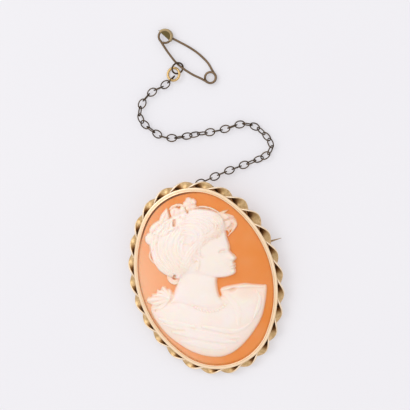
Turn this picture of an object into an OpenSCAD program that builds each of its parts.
// Shell cameo brooch in a gold setting with a twisted ribbon border, a hinged pin,
// a safety chain of oval links and a small safety pin. It lies face up on a table, as put down.
// +Y runs along the oval's length, +X across it, +Z up, and z = 0 is the table.

/* [Cameo] */
// Half length of the oval opening that shows the cameo
open_half_l = 20; // [17:0.5:24]
// Half width of the oval opening
open_half_w = 14.85; // [13.5:0.05:17]
// Radius of the oval's narrow ends
open_end_r = 12; // [10.5:0.1:13]
// Thickness of the shell at its edge
girdle_t = 1.5; // [1.2:0.1:2]
// How far the orange ground domes up above the edge
ground_rise = 1.5; // [0.5:0.1:3]
// How far the carved bust stands up above the ground
relief_h = 1.7; // [0.6:0.1:2.4]
// Depth of the hollow in the back of the shell
back_hollow = 1.1; // [0.3:0.1:1.6]
// Width of the flat rim round that hollow
back_rim = 1.6; // [1:0.1:3]
// Gap between the shell and the metal round it
cameo_gap = 0.05; // [0.02:0.01:0.1]

/* [Setting] */
// How far the lip reaches in over the shell's edge
lip_overlap = 0.16; // [0.1:0.02:0.3]
// Thickness of the bezel's upright wall
wall_t = 0.35; // [0.3:0.05:0.5]
// How far the ledge under the shell reaches inward from the opening
ledge_w = 1; // [0.6:0.1:1.6]
// Thickness of the ledge
ledge_t = 0.6; // [0.4:0.05:0.9]
// Thickness of the lip over the shell's edge
lip_t = 0.5; // [0.35:0.05:0.7]
// Height of the beads along the lip's two edges
bead_h = 0.2; // [0.1:0.05:0.3]
// How far the lip flares out past the wall
flare_w = 0.4; // [0.2:0.05:0.6]

/* [Ribbon border] */
// Width of the twisted ribbon
ribbon_w = 1.9; // [1.6:0.1:2.6]
// How much wider the hand-twisted ribbon is at its widest place, at the upper right
ribbon_spread = 0.6; // [0:0.1:0.8]
// Thickness of the ribbon
ribbon_t = 0.45; // [0.3:0.05:0.6]
// Half turns of the ribbon round the whole border
ribbon_lobes = 26; // [20:2:32]
// How far the ribbon's inner edge sinks into the wall where it is soldered
ribbon_bite = 0.12; // [0.08:0.02:0.2]
// Height of the ribbon's lower edge above the bezel's back
ribbon_lift = 0.2; // [0.2:0.05:0.4]
// Thickness of the flat rim under the ribbon that its lower edge is soldered to
base_rim_t = 0.2; // [0.15:0.05:0.3]
// Clearance between that rim and the table where the brooch lies on the bezel's back
base_rim_gap = 0.05; // [0.02:0.01:0.1]

/* [Pin] */
// Height of the pin's line above the middle of the oval
pin_v = 3.6; // [0:0.1:6]
// Distance from the bezel's back down to the pin's axis
pin_drop = 1.25; // [1.2:0.05:2]
// Diameter of the pin stem
stem_d = 0.8; // [0.6:0.05:1]
// How far the pin's point reaches past the bezel wall
stem_reach = 3.2; // [1:0.1:5]
// Length of the pin's sharp taper
taper_l = 5; // [3:0.5:8]
// Radius of the very point
point_r = 0.06; // [0.04:0.01:0.1]
// Outer radius of the hinge's knuckles
knuckle_r = 1.1; // [0.9:0.05:1.2]
// Length of the stem's own knuckle
stem_knuckle_l = 1.2; // [0.8:0.1:1.6]
// Length of each fixed knuckle
lug_l = 1; // [0.7:0.1:1.4]
// Gap between neighbouring knuckles
knuckle_gap = 0.1; // [0.05:0.01:0.15]
// Diameter of the hinge rivet
rivet_d = 0.7; // [0.5:0.05:0.8]
// Radial gap round the rivet in the stem's knuckle
rivet_play = 0.04; // [0.02:0.01:0.08]
// Radial gap round the rivet in the fixed knuckles
rivet_fit = 0.015; // [0.01:0.005:0.03]
// Radius of the rivet's spread ends
rivet_head_r = 0.6; // [0.5:0.05:0.8]
// Thickness of the rivet's spread ends
rivet_head_t = 0.2; // [0.15:0.05:0.3]
// Inner radius of the open catch
catch_r = 0.75; // [0.65:0.05:0.9]
// Thickness of the catch's strip
catch_t = 0.35; // [0.25:0.05:0.45]
// Length of the catch along the pin
catch_l = 1.6; // [1:0.1:2.4]
// Gap between the pin and the catch's tip
catch_gap = 0.1; // [0.06:0.02:0.2]

/* [Chain] */
// Length of one oval link
link_len = 2.52; // [2.3:0.01:2.7]
// Width of one oval link
link_w = 1.85; // [1.7:0.05:2]
// Thickness of the link wire
link_wire = 0.28; // [0.24:0.01:0.32]
// Slack between one link and the next
link_slack = 0.18; // [0.14:0.01:0.24]
// How far a flat link lies below the middle of its upright neighbours
link_sag = 0.12; // [0.05:0.01:0.15]
// Mean radius of the loop that holds the chain on the setting
loop_r = 0.72; // [0.6:0.02:0.85]
// Thickness of that loop's wire
loop_wire = 0.4; // [0.3:0.02:0.5]
// Distance of the loop from the oval's long axis
loop_x = 2.35; // [1:0.05:3]
// How deep the loop is soldered into the setting's back
loop_bite = 0.45; // [0.35:0.05:0.6]

/* [Rings] */
// Mean radius of the gold jump ring
gold_r = 1.45; // [1.3:0.05:1.6]
// Thickness of the gold jump ring's wire
gold_wire = 0.5; // [0.4:0.05:0.55]
// Mean radius of the dark ring
dark_r = 1.3; // [1.2:0.05:1.45]
// Thickness of the dark ring's wire
dark_wire = 0.4; // [0.3:0.05:0.45]

/* [Safety pin] */
// Distance between the middles of the head and the coil
guard_len = 13.8; // [12:0.1:16]
// Thickness of the safety pin's wire
guard_wire = 0.5; // [0.4:0.05:0.6]
// Mean radius of the coil
coil_r = 1.23; // [1:0.05:1.5]
// Mean radius of the wire loop in the head
head_r = 1.45; // [1.3:0.05:1.6]
// Outer radius of the folded cap
cap_r = 1.77; // [1.7:0.05:2]
// Height of the folded cap
cap_h = 1.5; // [1.3:0.1:1.8]
// Thickness of the cap's sheet
cap_t = 0.2; // [0.15:0.05:0.3]
// How far the sharp arm bows out from the middle line
sharp_bow = 2.15; // [1.6:0.05:2.6]
// How far the fixed arm bows out from the middle line
fixed_bow = 2.7; // [2.4:0.05:3]
// How far the point stands out past the head's middle
guard_point = 2.1; // [1.8:0.1:2.6]
// Rise of the coil in one full turn
coil_rise = 0.54; // [0.52:0.01:0.7]
// Gap between the sharp arm's end and the head's wire under the cap
guard_gap = 0.04; // [0.02:0.01:0.1]
// Depth of the cap's mouth, from its straight edge
cap_mouth = 1.15; // [1:0.05:1.3]

/* [Hidden] */
$fn = 64;

// Columns of the carved forms: the middle, half width, reach up and down, turn and height.
// Middles across and half widths are shares of the opening's half width, middles along, up and
// down are shares of its half length, and the height is a share of the relief's height.
F_X = 0;
F_Y = 1;
F_W = 2;
F_UP = 3;
F_DOWN = 4;
F_TURN = 5;
F_H = 6;
FORMS = [
    [-0.05, -0.27, 0.89, 0.14, 0.62, -2, 0.55], // bust and its drapery
    [-0.64, -0.30, 0.28, 0.17, 0.30, 0, 0.72], // near shoulder
    [-0.14, -0.38, 0.55, 0.25, 0.42, 0, 0.76], // chest
    [0.48, -0.32, 0.34, 0.15, 0.34, -12, 0.50], // far drapery
    [-0.12, -0.07, 0.27, 0.25, 0.30, 0, 0.72], // neck
    [-0.34, -0.12, 0.20, 0.18, 0.24, -38, 0.62], // slope of the neck to the shoulder
    [-0.09, 0.46, 0.57, 0.33, 0.36, 0, 1.00], // head with the hair swept over it
    [-0.44, 0.26, 0.22, 0.30, 0.15, 18, 0.84], // hair gathered low at the back
    [-0.46, 0.10, 0.09, 0.08, 0.07, 0, 0.55], // curl at the nape
    [-0.60, 0.61, 0.11, 0.08, 0.08, 0, 0.62], // round curl behind the crown
    [-0.38, 0.71, 0.27, 0.10, 0.12, 26, 0.80], // leaves on the crown
    [-0.24, 0.81, 0.14, 0.08, 0.11, 14, 0.70], // curls above them
    [-0.07, 0.83, 0.12, 0.07, 0.10, 0, 0.68], // curl at the top
    [0.13, 0.85, 0.12, 0.08, 0.09, 0, 0.66], // flower at the top
    [0.51, 0.62, 0.17, 0.07, 0.06, -12, 0.70], // fringe over the forehead
    [0.62, 0.53, 0.10, 0.05, 0.05, -10, 0.55], // lower lock of the fringe
    [0.57, 0.46, 0.12, 0.05, 0.05, 22, 0.58], // curl on the forehead
    [0.24, 0.24, 0.25, 0.26, 0.24, 0, 0.86], // face
    [0.43, 0.24, 0.07, 0.13, 0.12, 0, 0.62], // brow and cheek
    [0.49, 0.18, 0.06, 0.09, 0.03, 10, 0.50], // nose
    [0.43, 0.08, 0.05, 0.04, 0.04, 0, 0.50], // lips
    [0.36, 0.02, 0.09, 0.05, 0.04, 0, 0.56], // chin
    [-0.82, -0.05, 0.13, 0.05, 0.07, -6, 0.48], // bow on the near shoulder
    [-0.66, -0.04, 0.10, 0.08, 0.09, 0, 0.50], // its knot
];
// Cells of the carved face across and along
FACE_CELLS = [42, 58];
// Share of the way out where the face's last cells begin and the carving has run out, and the share
// over which it runs out
EDGE_BAND = 0.985;
EDGE_FADE = 0.04;
// Shares of the way from the back's middle to its flat rim, one ring of points each
HOLLOW_RINGS = [1, 0.66, 0.33];
// Rings of points along one lobe of the ribbon
RIBBON_STEPS = 10;
// Where round the border the twist starts, in degrees of the ribbon's own turn
RIBBON_START = -45;
// Share of the way round where the ribbon is widest, and how far it widens to both sides of it
RIBBON_WIDE_AT = 0.1;
RIBBON_WIDE_SPAN = 0.085;

// Columns of the chain's route: place on the table from the chain's start, height above the lie
// and roll of even links
R_X = 0;
R_Y = 1;
R_LIFT = 2;
R_ROLL = 3;
ROUTE = [
    [4.5, 0.6, 1.1, 0],
    [8.1, 1.1, 0.3, 5],
    [11.9, 1.4, 0, 5],
    [15.9, 1.7, 0, 30],
    [19.1, 2.3, 0, 75],
    [20.4, 4.0, 0, 55],
    [19.6, 6.6, 0, 42],
    [17.7, 9.3, 0, 25],
    [14.9, 10.5, 0, 8],
    [11.4, 10.4, 0, 5],
    [7.8, 10.7, 0, 5],
    [4.2, 11.2, 0, 45],
    [0.5, 11.6, 0, 80],
    [-2.7, 12.6, 0, 90],
    [-5.0, 15.2, 0, 82],
    [-6.6, 18.1, 0, 55],
    [-5.4, 21.1, 0, 10],
    [-2.5, 23.1, 0, 0],
    [0.9, 23.7, 0, 0],
    [3.5, 25.0, 0, 0],
];
// Points worked out between two points of the route
ROUTE_STEPS = 8;
// Gold ring: where it passes through the last link, as a share of the link's length from its end,
// direction from there to the ring's middle, height of its middle, direction it leans in and lean
PASS_STEP = 0.41;
GOLD_Z = 0.7;
GOLD_SPIN = -127;
GOLD_LEAN = 18;
GOLD_TURN = 47;
// Dark ring: the same, and its distance from the gold ring as a share of both radii
DARK_Z = 1.06;
DARK_SPIN = 36;
DARK_LEAN = 37;
DARK_TURN = 38;
DARK_STEP = 0.6;
// Where the safety pin's fixed arm passes through the dark ring, as a share of its radius
KINK_TURN = 69;
KINK_STEP = 0.68;
// Direction from the safety pin's head to its coil
HEAD_TURN = -58.7;
// Shares of the safety pin's length and of each arm's bow, in the order the wire runs
SHARP_ARM = [[0.115, 0.37], [0.40, 0.83], [0.60, 1], [0.80, 0.95], [0.93, 0.70]];
FIXED_ARM = [[0.90, 0.57], [0.72, 0.84], [0.46, 1], [0.25, 0.86], [0.10, 0.68]];
// Degrees of the coil's bend from one arm to the other, and of the head's loop
COIL_TURN = 540;
LOOP_TURN = 300;
// Degrees between two rings of points in those bends
BEND_STEP = 20;

// Bezel section worked out from the walls it is made of
shell_edge = lip_overlap + cameo_gap;
wall_out = shell_edge + wall_t;
lip_out = wall_out + flare_w;
seat_z = ledge_t + cameo_gap;
girdle_top = seat_z + girdle_t;
lip_z = girdle_top + cameo_gap;
bezel_top = lip_z + lip_t;

// Ribbon's own middle line where it isn't widened
ribbon_r = wall_out - ribbon_bite + ribbon_w / 2;

// Pin's line: the hinge sits under the bezel on the left, the catch on the right
bezel_mid = (wall_out - ledge_w) / 2;
hinge_x = -(oval_reach(0, 180) - (wall_out - bezel_mid) / 2);
catch_x = -hinge_x;
hinge_span = stem_knuckle_l + 2 * knuckle_gap + 2 * lug_l;
point_x = open_half_w + wall_out + stem_reach;

// The brooch rests on its lower rim and on the hinge and catch, so its top is raised
rest_v = pin_v - hinge_span / 2;
rim_v = open_half_l + wall_out;
rest_tilt = atan2(pin_drop + knuckle_r, rest_v + rim_v);
rest_lift = rim_v * sin(rest_tilt);

// Rim under the ribbon, raised to clear the table
base_rim_z = (ribbon_r - wall_out) * tan(rest_tilt) + base_rim_gap;

// Lowest wire of the chain's loop, where the brooch rests
loop_angle = atan2(open_half_l, loop_x);
loop_v = oval_reach(wall_out, loop_angle) * sin(loop_angle);
loop_low = loop_bite - loop_wire / 2 - 2 * loop_r;
loop_rest_y = loop_v * cos(rest_tilt) - loop_low * sin(rest_tilt);
loop_rest_z = rest_lift + loop_v * sin(rest_tilt) + loop_low * cos(rest_tilt);

// Chain worked out from its route: each link lies between two joints, evenly spaced along it.
// The number of links is odd, so the first and the last both stand upright.
chain_start = [loop_x - loop_wire / 2 - link_slack / 2, loop_rest_y, loop_rest_z - link_w / 2, 0];
route_rows = concat([chain_start], [for (row = ROUTE) row + [chain_start[R_X], chain_start[R_Y], 0, 0]]);
route_fine = spline_points(route_rows, ROUTE_STEPS);
route_at = running_lengths(route_fine);
route_len = route_at[len(route_at) - 1];
link_pitch_max = link_len - 2 * link_wire - link_slack;
link_count = 2 * ceil((route_len / link_pitch_max - 1) / 2) + 1;
link_pitch = route_len / link_count;
flat_lift = link_w / 2 - link_sag;

// Rings and safety pin, each placed from the one that holds it
chain_end = joint_at(link_count);
end_way = link_heading(link_count);
end_turn = atan2(end_way[1], end_way[0]);
gold_pass = [chain_end[0], chain_end[1]] - PASS_STEP * link_len * along(end_turn);
gold_mid = gold_pass + gold_r * along(GOLD_TURN);
dark_mid = gold_mid + DARK_STEP * (gold_r + dark_r) * along(DARK_TURN);
kink_at = dark_mid + KINK_STEP * dark_r * along(KINK_TURN);
kink = FIXED_ARM[2];
head_at = kink_at - kink[0] * guard_len * along(HEAD_TURN) + kink[1] * fixed_bow * along(HEAD_TURN + 90);

// Middle of the whole piece on the table, which is the origin
ribbon_out = ribbon_r + ribbon_w / 2;
high_x = max([for (p = route_fine) p[R_X]]) + link_w / 2;
high_y = head_at[1] + max(cap_r, -guard_point * sin(HEAD_TURN));
mid_x = (high_x - open_half_w - ribbon_out) / 2;
mid_y = (high_y - (open_half_l + ribbon_out) * cos(rest_tilt)) / 2;

// Safety pin's wire: sharp arm, coil, fixed arm and the loop of the head
arm_z = COIL_TURN / 360 * coil_rise / 2;
loop_z = (guard_wire + guard_gap) / 2;
guard_path = concat(
    spline_points(concat(
        [[-guard_point, 0, -loop_z]],
        [for (p = SHARP_ARM) [p[0] * guard_len, p[1] * sharp_bow, -loop_z - (arm_z - loop_z) * p[0]]]
    ), 3),
    [for (a = [0:BEND_STEP:COIL_TURN])
        [guard_len + coil_r * sin(a), coil_r * cos(a), (a / COIL_TURN * 2 - 1) * arm_z]],
    spline_points(
        [for (p = FIXED_ARM) [p[0] * guard_len, -p[1] * fixed_bow, loop_z + (arm_z - loop_z) * p[0]]], 3),
    [for (a = [0:BEND_STEP:LOOP_TURN]) [-head_r * sin(a), -head_r * cos(a), loop_z]]
);

// Direction on the table at an angle
function along(angle) = [cos(angle), sin(angle)];

// Name of one link of the chain
function link_name(i) = str("chain_link_", i < 10 ? "0" : "", i);

// Radius of an oval's long sides, from its half length, half width and end radius
function side_r(half_l, half_w, end_r) =
    (pow(half_l - end_r, 2) + pow(half_w, 2) - pow(end_r, 2)) / (2 * (half_w - end_r));

// Distance from the opening's middle to an oval round it, grown outward, in one direction
function oval_reach(grow, angle) =
    let (
        end_c = open_half_l - open_end_r,
        long_r = side_r(open_half_l, open_half_w, open_end_r),
        side_c = long_r - open_half_w,
        across = abs(cos(angle)),
        along = abs(sin(angle)),
        turn = atan2(end_c, side_c),
        join = [(long_r + grow) * cos(turn) - side_c, (long_r + grow) * sin(turn)],
        on_side = along * join[0] <= across * join[1]
    )
    on_side
        ? sqrt(pow(long_r + grow, 2) - pow(side_c * along, 2)) - side_c * across
        : sqrt(pow(open_end_r + grow, 2) - pow(end_c * across, 2)) + end_c * along;

// Point and outward direction at one share of the way round an oval grown from the opening
function oval_walk(grow, share) =
    let (
        end_c = open_half_l - open_end_r,
        long_r = side_r(open_half_l, open_half_w, open_end_r),
        side_c = long_r - open_half_w,
        turn = atan2(end_c, side_c),
        half_side = (long_r + grow) * turn,
        end_arc = (open_end_r + grow) * (180 - 2 * turn),
        half_way = 2 * half_side + end_arc,
        back = share >= 0.5,
        s = (back ? share - 0.5 : share) * 2 * half_way,
        part = s < half_side ? 0 : s < half_side + end_arc ? 1 : 2,
        angle = part == 0 ? s / (long_r + grow)
            : part == 1 ? turn + (s - half_side) / (open_end_r + grow)
            : 180 - turn + (s - half_side - end_arc) / (long_r + grow),
        middle = part == 0 ? [-side_c, 0] : part == 1 ? [0, end_c] : [side_c, 0],
        radius = (part == 1 ? open_end_r : long_r) + grow,
        place = middle + radius * [cos(angle), sin(angle)],
        flip = back ? -1 : 1
    )
    [flip * place[0], flip * place[1], back ? angle + 180 : angle];

// How much wider the ribbon is at one share of the way round
function ribbon_growth(share) =
    let (off = min(abs(share - RIBBON_WIDE_AT) / RIBBON_WIDE_SPAN, 1))
    ribbon_spread * pow(cos(90 * off), 2);

// Smooth curve through the rows of a table, with steps points to a stretch
function spline_points(rows, steps) = [
    for (i = [0:len(rows) - 2], k = [0:steps - 1])
        spline_row(rows, i, k / steps),
    rows[len(rows) - 1]
];
function spline_row(rows, i, t) =
    let (
        a = rows[max(i - 1, 0)],
        b = rows[i],
        c = rows[i + 1],
        d = rows[min(i + 2, len(rows) - 1)]
    )
    b + (c - a) * (t / 2) + (2 * a - 5 * b + 4 * c - d) * (t * t / 2)
        + (3 * b - a - 3 * c + d) * (t * t * t / 2);

// Length walked along the points on the table, one value a point
function running_lengths(points) = [
    for (i = 0, s = 0; i < len(points);
        s = s + (i + 1 < len(points) ? flat_step(points[i], points[i + 1]) : 0), i = i + 1)
        s
];
function flat_step(a, b) = norm([b[R_X] - a[R_X], b[R_Y] - a[R_Y]]);

// One column of the route at a length along it
function route_value(s, column) =
    lookup(s, [for (k = [0:len(route_at) - 1]) [route_at[k], route_fine[k][column]]]);

// Joint before or after a link, and the link's roll, height of its middle as it lies, and ends
function joint_at(k) = [for (column = [R_X, R_Y, R_LIFT]) route_value(k * link_pitch, column)];
function link_roll(i) = route_value((i - 0.5) * link_pitch, R_ROLL) + (i % 2 == 1 ? 90 : 0);
function link_rest(i) = max(flat_lift, link_wire / 2 + (link_w - link_wire) / 2 * abs(sin(link_roll(i))));
function link_middle(i) = (joint_at(i - 1) + joint_at(i)) / 2 + [0, 0, link_rest(i)];
function link_heading(i) = joint_at(i) - joint_at(i - 1);

// Height of one carved form over a place, as a share of the relief's height
function form_height(form, x, y) =
    let (
        dx = x - form[F_X] * open_half_w,
        dy = y - form[F_Y] * open_half_l,
        across = (dx * cos(form[F_TURN]) + dy * sin(form[F_TURN])) / (form[F_W] * open_half_w),
        raw = dy * cos(form[F_TURN]) - dx * sin(form[F_TURN]),
        along = raw / ((raw > 0 ? form[F_UP] : form[F_DOWN]) * open_half_l),
        away = sqrt(across * across + along * along)
    )
    away < 1 ? form[F_H] * sqrt(1 - pow(away, 3)) : 0;

// Top of the shell over a place at a share of the way out to its edge
function face_height(x, y, share) =
    let (fade = max(min((EDGE_BAND - share) / EDGE_FADE, 1), 0))
    girdle_top + ground_rise * (1 - share * share)
        + relief_h * fade * max([for (form = FORMS) form_height(form, x, y)]);

// Place of one row of the face's points, from -1 to 1, with a narrow cell at both ends
function face_row(i, cells) =
    i == 0 ? -1 : i == cells ? 1 : EDGE_BAND * (2 * (i - 1) / (cells - 2) - 1);

// Place on the shell under a point of the square from -1 to 1
function shell_place(s, t) =
    let (
        p = [s * sqrt(1 - t * t / 2), t * sqrt(1 - s * s / 2)],
        share = min(norm(p), 1),
        angle = share > 0 ? atan2(p[1], p[0]) : 0,
        reach = share * oval_reach(lip_overlap, angle)
    )
    [reach * cos(angle), reach * sin(angle), share];

// Numbers of the grid's border points, counterclockwise
function border_order(nx, ny) = concat(
    [for (i = [0:nx - 1]) i],
    [for (j = [0:ny - 1]) nx + j * (nx + 1)],
    [for (i = [0:nx - 1]) ny * (nx + 1) + nx - i],
    [for (j = [0:ny - 1]) (ny - j) * (nx + 1)]
);

// Brings a piece from the oval's own middle to the origin
module on_table() {
    translate([-mid_x, -mid_y, 0])
        children();
}

// Brings a piece from the brooch's own upright frame to where the brooch rests
module as_resting() {
    translate([-mid_x, -mid_y, rest_lift])
        rotate([rest_tilt, 0, 0])
            children();
}

// Sweeps a flat section round an oval, the section's x being the distance outward from it
module oval_sweep(half_l, half_w, end_r) {
    end_c = half_l - end_r;
    long_r = side_r(half_l, half_w, end_r);
    side_c = long_r - half_w;
    turn = atan2(end_c, side_c);
    for (side = [0, 180])
        rotate([0, 0, side]) {
            translate([-side_c, 0, 0])
                rotate([0, 0, -turn])
                    rotate_extrude(angle = 2 * turn)
                        translate([long_r, 0])
                            children();
            translate([0, end_c, 0])
                rotate([0, 0, turn])
                    rotate_extrude(angle = 180 - 2 * turn)
                        translate([end_r, 0])
                            children();
        }
}

// Wire swept along points, with its own radius at each of them
module swept_wire(points, radii, sides) {
    last = len(points) - 1;
    rings = [
        for (k = [0:last])
            let (
                run = points[min(k + 1, last)] - points[max(k - 1, 0)],
                ahead = run / norm(run),
                aside = [-ahead[1], ahead[0], 0] / norm([ahead[0], ahead[1]]),
                up = cross(ahead, aside)
            )
            for (c = [0:sides - 1])
                points[k] + radii[k] * (cos(360 * c / sides) * aside + sin(360 * c / sides) * up)
    ];
    faces = concat(
        [for (k = [0:last - 1], c = [0:sides - 1], half = [0, 1])
            let (
                a = sides * k + c,
                b = sides * k + (c + 1) % sides
            )
            half == 0 ? [a, b + sides, b] : [a, a + sides, b + sides]],
        [[for (c = [0:sides - 1]) c]],
        [[for (c = [0:sides - 1]) sides * last + sides - 1 - c]]
    );
    polyhedron(rings, faces, convexity = 8);
}

// Round wire ring in its own plane
module wire_ring(mean_r, wire) {
    rotate_extrude()
        translate([mean_r, 0])
            circle(d = wire, $fn = 32);
}

// Carved shell: domed ground, raised bust, upright edge and hollowed back
module cameo() {
    nx = FACE_CELLS[0];
    ny = FACE_CELLS[1];
    face = [
        for (j = [0:ny], i = [0:nx])
            let (p = shell_place(face_row(i, nx), face_row(j, ny)))
            [p[0], p[1], face_height(p[0], p[1], p[2])]
    ];
    border = border_order(nx, ny);
    n = len(border);
    edge = [for (k = border) [face[k][0], face[k][1], seat_z]];
    hollow = [
        for (ring = HOLLOW_RINGS, p = edge)
            let (
                out = norm([p[0], p[1]]),
                share = ring * (out - back_rim) / out
            )
            [p[0] * share, p[1] * share, seat_z + back_hollow * (1 - ring * ring)]
    ];
    first_edge = len(face);
    first_hollow = first_edge + n;
    middle = first_hollow + len(hollow);
    last_ring = first_hollow + (len(HOLLOW_RINGS) - 1) * n;
    faces = concat(
        [for (j = [0:ny - 1], i = [0:nx - 1], half = [0, 1])
            let (a = j * (nx + 1) + i, c = a + nx + 2)
            half == 0 ? [a, c, a + 1] : [a, c - 1, c]],
        [for (k = [0:n - 1], half = [0, 1])
            let (k2 = (k + 1) % n)
            half == 0 ? [border[k], border[k2], first_edge + k2] : [border[k], first_edge + k2, first_edge + k]],
        [for (ring = [0:len(HOLLOW_RINGS) - 1], k = [0:n - 1], half = [0, 1])
            let (
                k2 = (k + 1) % n,
                outer = first_edge + ring * n,
                inner = outer + n
            )
            half == 0 ? [outer + k, outer + k2, inner + k2] : [outer + k, inner + k2, inner + k]],
        [for (k = [0:n - 1]) [last_ring + k, last_ring + (k + 1) % n, middle]]
    );
    color("#F2C79F")
        as_resting()
            polyhedron(concat(face, edge, hollow, [[0, 0, seat_z + back_hollow]]), faces, convexity = 6);
}

// Twisted ribbon that closes on itself round the bezel
module ribbon() {
    steps = ribbon_lobes * RIBBON_STEPS;
    corners = [[1, 1], [0, 1], [-1, 1], [-1, -1], [0, -1], [1, -1]];
    sides = len(corners);
    points = [
        for (k = [0:steps - 1], corner = corners)
            let (
                grow = ribbon_growth(k / steps) / 2,
                at = oval_walk(ribbon_r + grow, k / steps),
                twist = RIBBON_START + 180 * ribbon_lobes * k / steps,
                p = corner[0] * (ribbon_w / 2 + grow),
                q = corner[1] * ribbon_t / 2,
                out = p * cos(twist) - q * sin(twist),
                middle_z = ribbon_lift + ribbon_w / 2 + grow
            )
            [at[0] + out * cos(at[2]), at[1] + out * sin(at[2]), middle_z + p * sin(twist) + q * cos(twist)]
    ];
    faces = [
        for (k = [0:steps - 1], c = [0:sides - 1], half = [0, 1])
            let (
                a = sides * k + c,
                b = sides * k + (c + 1) % sides,
                a2 = sides * ((k + 1) % steps) + c,
                b2 = sides * ((k + 1) % steps) + (c + 1) % sides
            )
            half == 0 ? [a, b2, a2] : [a, b, b2]
    ];
    polyhedron(points, faces, convexity = 8);
}

// Bezel section: ledge, wall, rim under the ribbon and flared lip with a bead along each edge
module bezel_section() {
    polygon([
        [-ledge_w, 0],
        [wall_out, 0],
        [ribbon_r, base_rim_z],
        [ribbon_r, base_rim_z + base_rim_t],
        [wall_out, base_rim_z + base_rim_t],
        [wall_out, lip_z - wall_t],
        [lip_out, lip_z],
        [lip_out, bezel_top - 2 * bead_h],
        [lip_out - bead_h, bezel_top - bead_h],
        [lip_out - 2.5 * bead_h, bezel_top - 1.5 * bead_h],
        [2.5 * bead_h, bezel_top - bead_h],
        [1.5 * bead_h, bezel_top],
        [bead_h / 2, bezel_top],
        [0, lip_z + bead_h],
        [0, lip_z],
        [shell_edge, lip_z],
        [shell_edge, ledge_t],
        [-ledge_w, ledge_t]
    ]);
}

// Two fixed knuckles of the pin's hinge, with the rivet's bore, hung from the ledge
module hinge_lugs() {
    for (side = [-1, 1])
        translate([hinge_x, pin_v + side * (stem_knuckle_l / 2 + knuckle_gap + lug_l / 2), -pin_drop])
            difference() {
                union() {
                    rotate([90, 0, 0])
                        cylinder(r = knuckle_r, h = lug_l, center = true);
                    translate([-knuckle_r * 0.7, -lug_l / 2, 0])
                        cube([1.4 * knuckle_r, lug_l, pin_drop + ledge_t / 2]);
                }
                rotate([90, 0, 0])
                    cylinder(d = rivet_d + 2 * rivet_fit, h = lug_l + 1, center = true);
            }
}

// Open hook that the pin lies in, its mouth turned down and aside
module catch_hook() {
    hook_v = pin_v + stem_d / 2 + catch_gap - catch_r * sin(8);
    translate([catch_x, hook_v, -pin_drop])
        rotate([90, 0, 90])
            translate([0, 0, -catch_l / 2])
                union() {
                    rotate([0, 0, -82])
                        rotate_extrude(angle = 212)
                            translate([catch_r, 0])
                                square([catch_t, catch_l]);
                    translate([-catch_r * 0.6, catch_r + catch_t * 0.4, 0])
                        cube([1.2 * catch_r, pin_drop + ledge_t / 2 - catch_r - catch_t * 0.4, catch_l]);
                }
}

// Small loop soldered under the top of the setting, for the chain
module chain_loop() {
    translate([loop_x, loop_v, loop_low + loop_r])
        rotate([0, 90, 0])
            wire_ring(loop_r, loop_wire);
}

// Gold setting, soldered into one piece
module setting() {
    color("#D9AE62")
        as_resting()
            union() {
                oval_sweep(open_half_l, open_half_w, open_end_r)
                    bezel_section();
                ribbon();
                hinge_lugs();
                catch_hook();
                chain_loop();
            }
}

// Hinged pin: knuckle, round stem and sharp point
module pin_stem() {
    color("#C79A52")
        as_resting()
            translate([hinge_x, pin_v, -pin_drop])
                difference() {
                    union() {
                        rotate([90, 0, 0])
                            cylinder(r = knuckle_r, h = stem_knuckle_l, center = true);
                        rotate([0, 90, 0])
                            cylinder(d = stem_d, h = point_x - hinge_x - taper_l);
                        translate([point_x - hinge_x - taper_l, 0, 0])
                            rotate([0, 90, 0])
                                cylinder(d1 = stem_d, r2 = point_r, h = taper_l);
                    }
                    rotate([90, 0, 0])
                        cylinder(d = rivet_d + 2 * rivet_play, h = stem_knuckle_l + 1, center = true);
                }
}

// Rivet through the hinge, spread at both ends
module hinge_rivet() {
    shank = hinge_span + 2 * rivet_fit;
    color("#B98A45")
        as_resting()
            translate([hinge_x, pin_v, -pin_drop])
                rotate([90, 0, 0])
                    union() {
                        cylinder(d = rivet_d, h = shank, center = true);
                        for (side = [-1, 1])
                            translate([0, 0, side * (shank + rivet_head_t) / 2])
                                cylinder(r = rivet_head_r, h = rivet_head_t, center = true);
                    }
}

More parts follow.
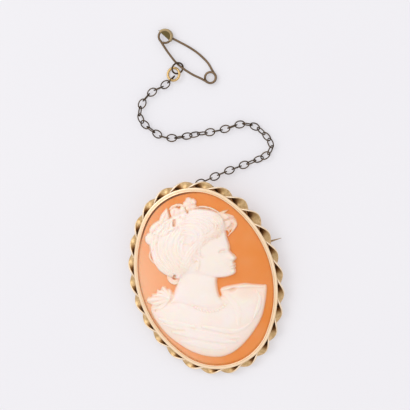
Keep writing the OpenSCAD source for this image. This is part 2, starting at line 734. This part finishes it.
// One link: two half rings joined by two short straight sides
module oval_link() {
    bend_r = (link_w - link_wire) / 2;
    straight = link_len - link_w;
    for (side = [0, 180])
        rotate([0, 0, side]) {
            translate([straight / 2, 0, 0])
                rotate([0, 0, -90])
                    rotate_extrude(angle = 180)
                        translate([bend_r, 0])
                            circle(d = link_wire, $fn = 32);
            translate([-straight / 2, bend_r, 0])
                rotate([0, 90, 0])
                    cylinder(d = link_wire, h = straight, $fn = 32);
        }
}

// One oval link of the chain where it lies
module chain_link(i) {
    way = link_heading(i);
    rise = atan2(way[2], norm([way[0], way[1]]));
    color("#4E3F30")
        on_table()
            translate(link_middle(i))
                rotate([0, -rise, atan2(way[1], way[0])])
                    rotate([link_roll(i), 0, 0])
                        oval_link();
}

// Gold ring between the chain and the dark ring
module gold_jump_ring() {
    color("#DDB35F")
        on_table()
            translate([gold_mid[0], gold_mid[1], GOLD_Z])
                rotate([0, 0, GOLD_SPIN])
                    rotate([GOLD_LEAN, 0, 0])
                        wire_ring(gold_r, gold_wire);
}

// Dark ring round the safety pin's fixed arm
module dark_ring() {
    color("#4A3B2C")
        on_table()
            translate([dark_mid[0], dark_mid[1], DARK_Z])
                rotate([0, 0, DARK_SPIN])
                    rotate([DARK_LEAN, 0, 0])
                        wire_ring(dark_r, dark_wire);
}

// Folded sheet cap over one half of the head, open towards the arms and at its two ends
module guard_cap() {
    inner_h = cap_h - 2 * cap_t;
    difference() {
        cylinder(r = cap_r, h = cap_h, center = true);
        cylinder(r = cap_r - cap_t, h = inner_h, center = true);
        translate([-2 * cap_r, -4 * cap_r, -cap_h])
            cube([4 * cap_r, 4 * cap_r, 2 * cap_h]);
        translate([-2 * cap_r, -cap_r, -inner_h / 2])
            cube([4 * cap_r, cap_r + cap_mouth, inner_h]);
    }
}

// Safety pin of one bent wire with its folded cap, lying on the table
module safety_pin() {
    coil_h = COIL_TURN / 360 * coil_rise + guard_wire;
    settle = asin((cap_h - coil_h) / 2 / guard_len);
    radii = [for (k = [0:len(guard_path) - 1]) k == 0 ? point_r : guard_wire / 2];
    color("#6E5237")
        on_table()
            translate([head_at[0], head_at[1], cap_h / 2])
                rotate([0, 0, HEAD_TURN])
                    rotate([0, settle, 0])
                        union() {
                            swept_wire(guard_path, radii, 8);
                            guard_cap();
                        }
}

cameo();
setting();
pin_stem();
hinge_rivet();
gold_jump_ring();
dark_ring();
safety_pin();
for (i = [1:link_count])
    chain_link(i);
